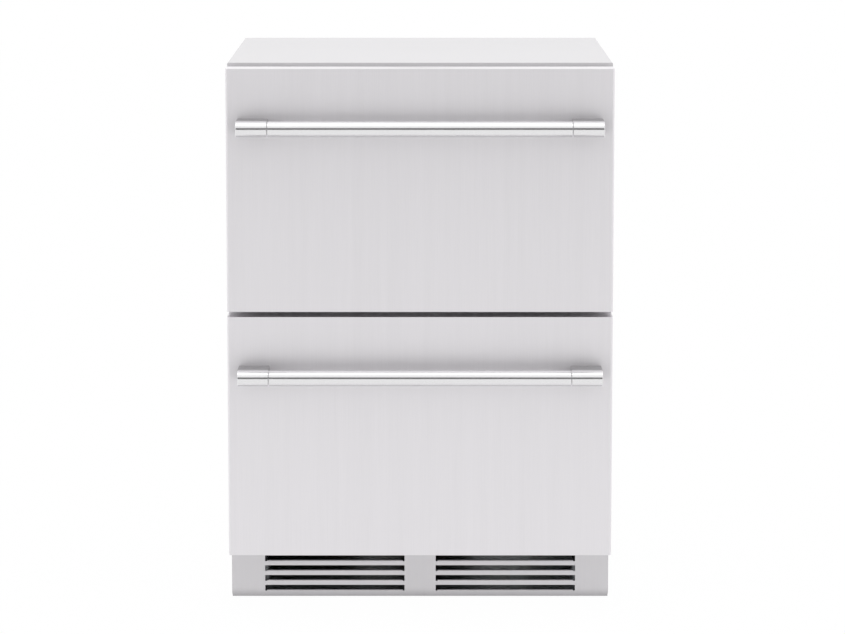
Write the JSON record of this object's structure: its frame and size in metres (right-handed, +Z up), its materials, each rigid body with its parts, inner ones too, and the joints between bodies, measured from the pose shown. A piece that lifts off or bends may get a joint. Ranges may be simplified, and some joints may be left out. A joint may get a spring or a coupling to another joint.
{
  "type": "undercounter drawer refrigerator",
  "caption": "Built-under refrigerator with stacked full-width steel-fronted drawers on ball-bearing slides, bar handles and a louvred kick grille.",
  "frame": {"origin": "centre of the footprint on the floor, under the levelling feet", "axes": "+X to the right of a person facing the drawers, +Y to the wall behind, +Z up; the drawers open towards -Y"},
  "size_m": [0.595, 0.657, 0.864],
  "materials": {
    "wrapper_steel": "satin",
    "zinc_sheet": "satin",
    "foam": "matte",
    "liner_white": "satin",
    "frame_grey": "matte",
    "brushed_front": "satin",
    "dark_plastic": "matte",
    "lens": "gloss",
    "fin_aluminium": "satin",
    "white_plastic": "satin",
    "black_enamel": "gloss",
    "black_rubber": "matte",
    "copper": "satin",
    "screw_steel": "satin",
    "slide_zinc": "satin",
    "leg_metal": "satin",
    "gasket_grey": "matte",
    "polished_handle": "polished",
    "frame_white": "satin",
    "bin_white": "satin",
    "cage_plastic": "satin"
  },
  "bodies": {
    "cabinet": {"outer_wrapper": "wrapper_steel", "back_panel": "zinc_sheet", "base_pan": "zinc_sheet", "compartment_deck": "zinc_sheet", "cabinet_foam": "foam", "upper_liner": "liner_white", "lower_liner": "liner_white", "front_frame": "frame_grey", "kick_plate": "brushed_front", "air_baffle": "dark_plastic", "control_panel": "dark_plastic", "led_strips": "lens", "evaporator_cover": "liner_white", "evaporator_coil": "fin_aluminium", "evap_fan_housing": "white_plastic", "compressor": "black_enamel", "compressor_cover": "dark_plastic", "compressor_mounts": "black_rubber", "condenser_coil": "black_enamel", "condenser_fan_shroud": "dark_plastic", "drip_tray": "dark_plastic", "drain_tube": "white_plastic", "filter_drier": "copper", "refrigerant_lines": "copper", "rear_cover": "zinc_sheet", "rear_cover_screws": "screw_steel", "cord_gland": "dark_plastic", "slide_outers": "slide_zinc"},
    "evap_fan": {"evap_fan_blade": "white_plastic"},
    "condenser_fan": {"condenser_fan_blade": "dark_plastic"},
    "leg_front_left": {"leg_front_left": "leg_metal"},
    "leg_front_right": {"leg_front_right": "leg_metal"},
    "leg_rear_left": {"leg_rear_left": "leg_metal"},
    "leg_rear_right": {"leg_rear_right": "leg_metal"},
    "upper_drawer": {"upper_front_skin": "brushed_front", "upper_front_liner": "liner_white", "upper_front_foam": "foam", "upper_gasket": "gasket_grey", "upper_handle_tube": "polished_handle", "upper_handle_ends": "polished_handle", "upper_drawer_screws": "screw_steel", "upper_drawer_frame": "frame_white", "upper_bin": "bin_white", "upper_slide_inners": "slide_zinc"},
    "upper_middles": {"upper_slide_middles": "slide_zinc"},
    "upper_outer_balls": {"upper_outer_cages": "cage_plastic"},
    "upper_inner_balls": {"upper_inner_cages": "cage_plastic"},
    "lower_drawer": {"lower_front_skin": "brushed_front", "lower_front_liner": "liner_white", "lower_front_foam": "foam", "lower_gasket": "gasket_grey", "lower_handle_tube": "polished_handle", "lower_handle_ends": "polished_handle", "lower_drawer_screws": "screw_steel", "lower_drawer_frame": "frame_white", "lower_bin": "bin_white", "lower_slide_inners": "slide_zinc"},
    "lower_middles": {"lower_slide_middles": "slide_zinc"},
    "lower_outer_balls": {"lower_outer_cages": "cage_plastic"},
    "lower_inner_balls": {"lower_inner_cages": "cage_plastic"}
  },
  "joints": [
    {"name": "evap_fan_spin", "type": "hinge", "parent": "cabinet", "child": "evap_fan", "pos_m": [0, 0.2348, 0.765], "axis": [0, 1, 0], "continuous": true},
    {"name": "condenser_fan_spin", "type": "hinge", "parent": "cabinet", "child": "condenser_fan", "pos_m": [0, 0.2309, 0.132], "axis": [1, 0, 0], "continuous": true},
    {"name": "leg_front_left_travel", "type": "slide", "parent": "cabinet", "child": "leg_front_left", "axis": [0, 0, -1], "range_m": [0, 0.025]},
    {"name": "leg_front_right_travel", "type": "slide", "parent": "cabinet", "child": "leg_front_right", "axis": [0, 0, -1], "range_m": [0, 0.025]},
    {"name": "leg_rear_left_travel", "type": "slide", "parent": "cabinet", "child": "leg_rear_left", "axis": [0, 0, -1], "range_m": [0, 0.025]},
    {"name": "leg_rear_right_travel", "type": "slide", "parent": "cabinet", "child": "leg_rear_right", "axis": [0, 0, -1], "range_m": [0, 0.025]},
    {"name": "upper_drawer_slide", "type": "slide", "parent": "cabinet", "child": "upper_drawer", "axis": [0, -1, 0], "range_m": [0, 0.4]},
    {"name": "upper_middles_slide", "type": "slide", "parent": "cabinet", "child": "upper_middles", "axis": [0, -1, 0], "range_m": [0, 0.2]},
    {"name": "upper_outer_balls_slide", "type": "slide", "parent": "cabinet", "child": "upper_outer_balls", "axis": [0, -1, 0], "range_m": [0, 0.1]},
    {"name": "upper_inner_balls_slide", "type": "slide", "parent": "cabinet", "child": "upper_inner_balls", "axis": [0, -1, 0], "range_m": [0, 0.3]},
    {"name": "lower_drawer_slide", "type": "slide", "parent": "cabinet", "child": "lower_drawer", "axis": [0, -1, 0], "range_m": [0, 0.4]},
    {"name": "lower_middles_slide", "type": "slide", "parent": "cabinet", "child": "lower_middles", "axis": [0, -1, 0], "range_m": [0, 0.2]},
    {"name": "lower_outer_balls_slide", "type": "slide", "parent": "cabinet", "child": "lower_outer_balls", "axis": [0, -1, 0], "range_m": [0, 0.1]},
    {"name": "lower_inner_balls_slide", "type": "slide", "parent": "cabinet", "child": "lower_inner_balls", "axis": [0, -1, 0], "range_m": [0, 0.3]}
  ],
  "couplings": [
    {"joint": "upper_middles_slide", "follows": "upper_drawer_slide", "ratio": 0.5},
    {"joint": "upper_outer_balls_slide", "follows": "upper_drawer_slide", "ratio": 0.25},
    {"joint": "upper_inner_balls_slide", "follows": "upper_drawer_slide", "ratio": 0.75},
    {"joint": "lower_middles_slide", "follows": "lower_drawer_slide", "ratio": 0.5},
    {"joint": "lower_outer_balls_slide", "follows": "lower_drawer_slide", "ratio": 0.25},
    {"joint": "lower_inner_balls_slide", "follows": "lower_drawer_slide", "ratio": 0.75}
  ]
}
